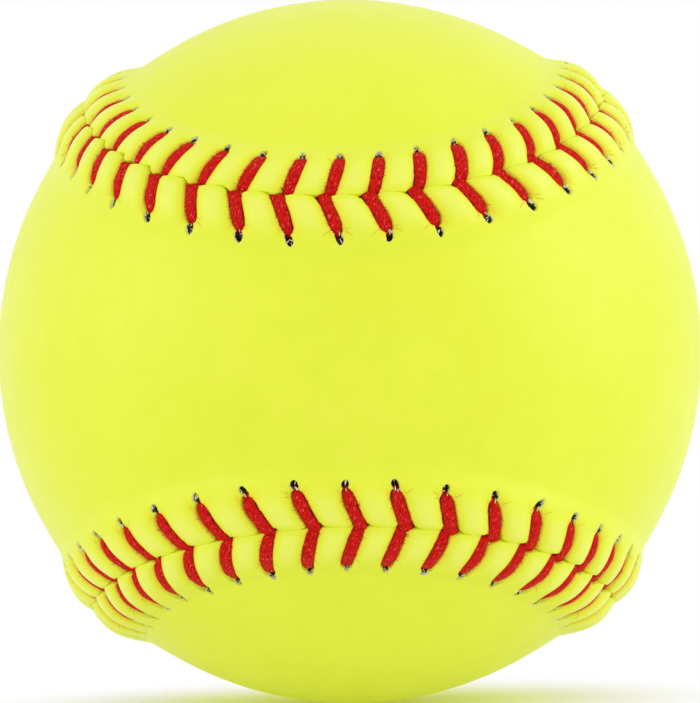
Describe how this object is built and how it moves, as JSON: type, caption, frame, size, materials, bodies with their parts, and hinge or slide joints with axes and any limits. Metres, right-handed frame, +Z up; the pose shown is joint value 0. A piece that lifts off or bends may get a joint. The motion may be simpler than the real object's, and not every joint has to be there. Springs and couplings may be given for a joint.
{
  "type": "softball",
  "caption": "Yellow leather softball: a moulded core under figure-eight cover panels, sewn edge to edge along a raised seam with red V stitches.",
  "frame": {"origin": "centre of the ball", "axes": "+Z up; the front cover panel's waist faces -Y and its ends wrap round +X and -X; the back panel's waist faces +Y and its ends cover +Z and -Z"},
  "size_m": [0.097, 0.097, 0.097],
  "materials": {
    "core_foam": "dense moulded polyurethane foam, smooth skin",
    "cement": "thin dried rubber cement, slightly tacky",
    "cover_leather": "smooth dyed leather in optic yellow, fine pebble grain, semi-matte",
    "waxed_thread": "waxed twisted red thread, pulled flat"
  },
  "bodies": {
    "root": {"core": "core_foam", "cement_coat": "cement", "front_cover_panel": "cover_leather", "back_cover_panel": "cover_leather", "first_thread": "waxed_thread", "second_thread": "waxed_thread"}
  },
  "joints": []
}
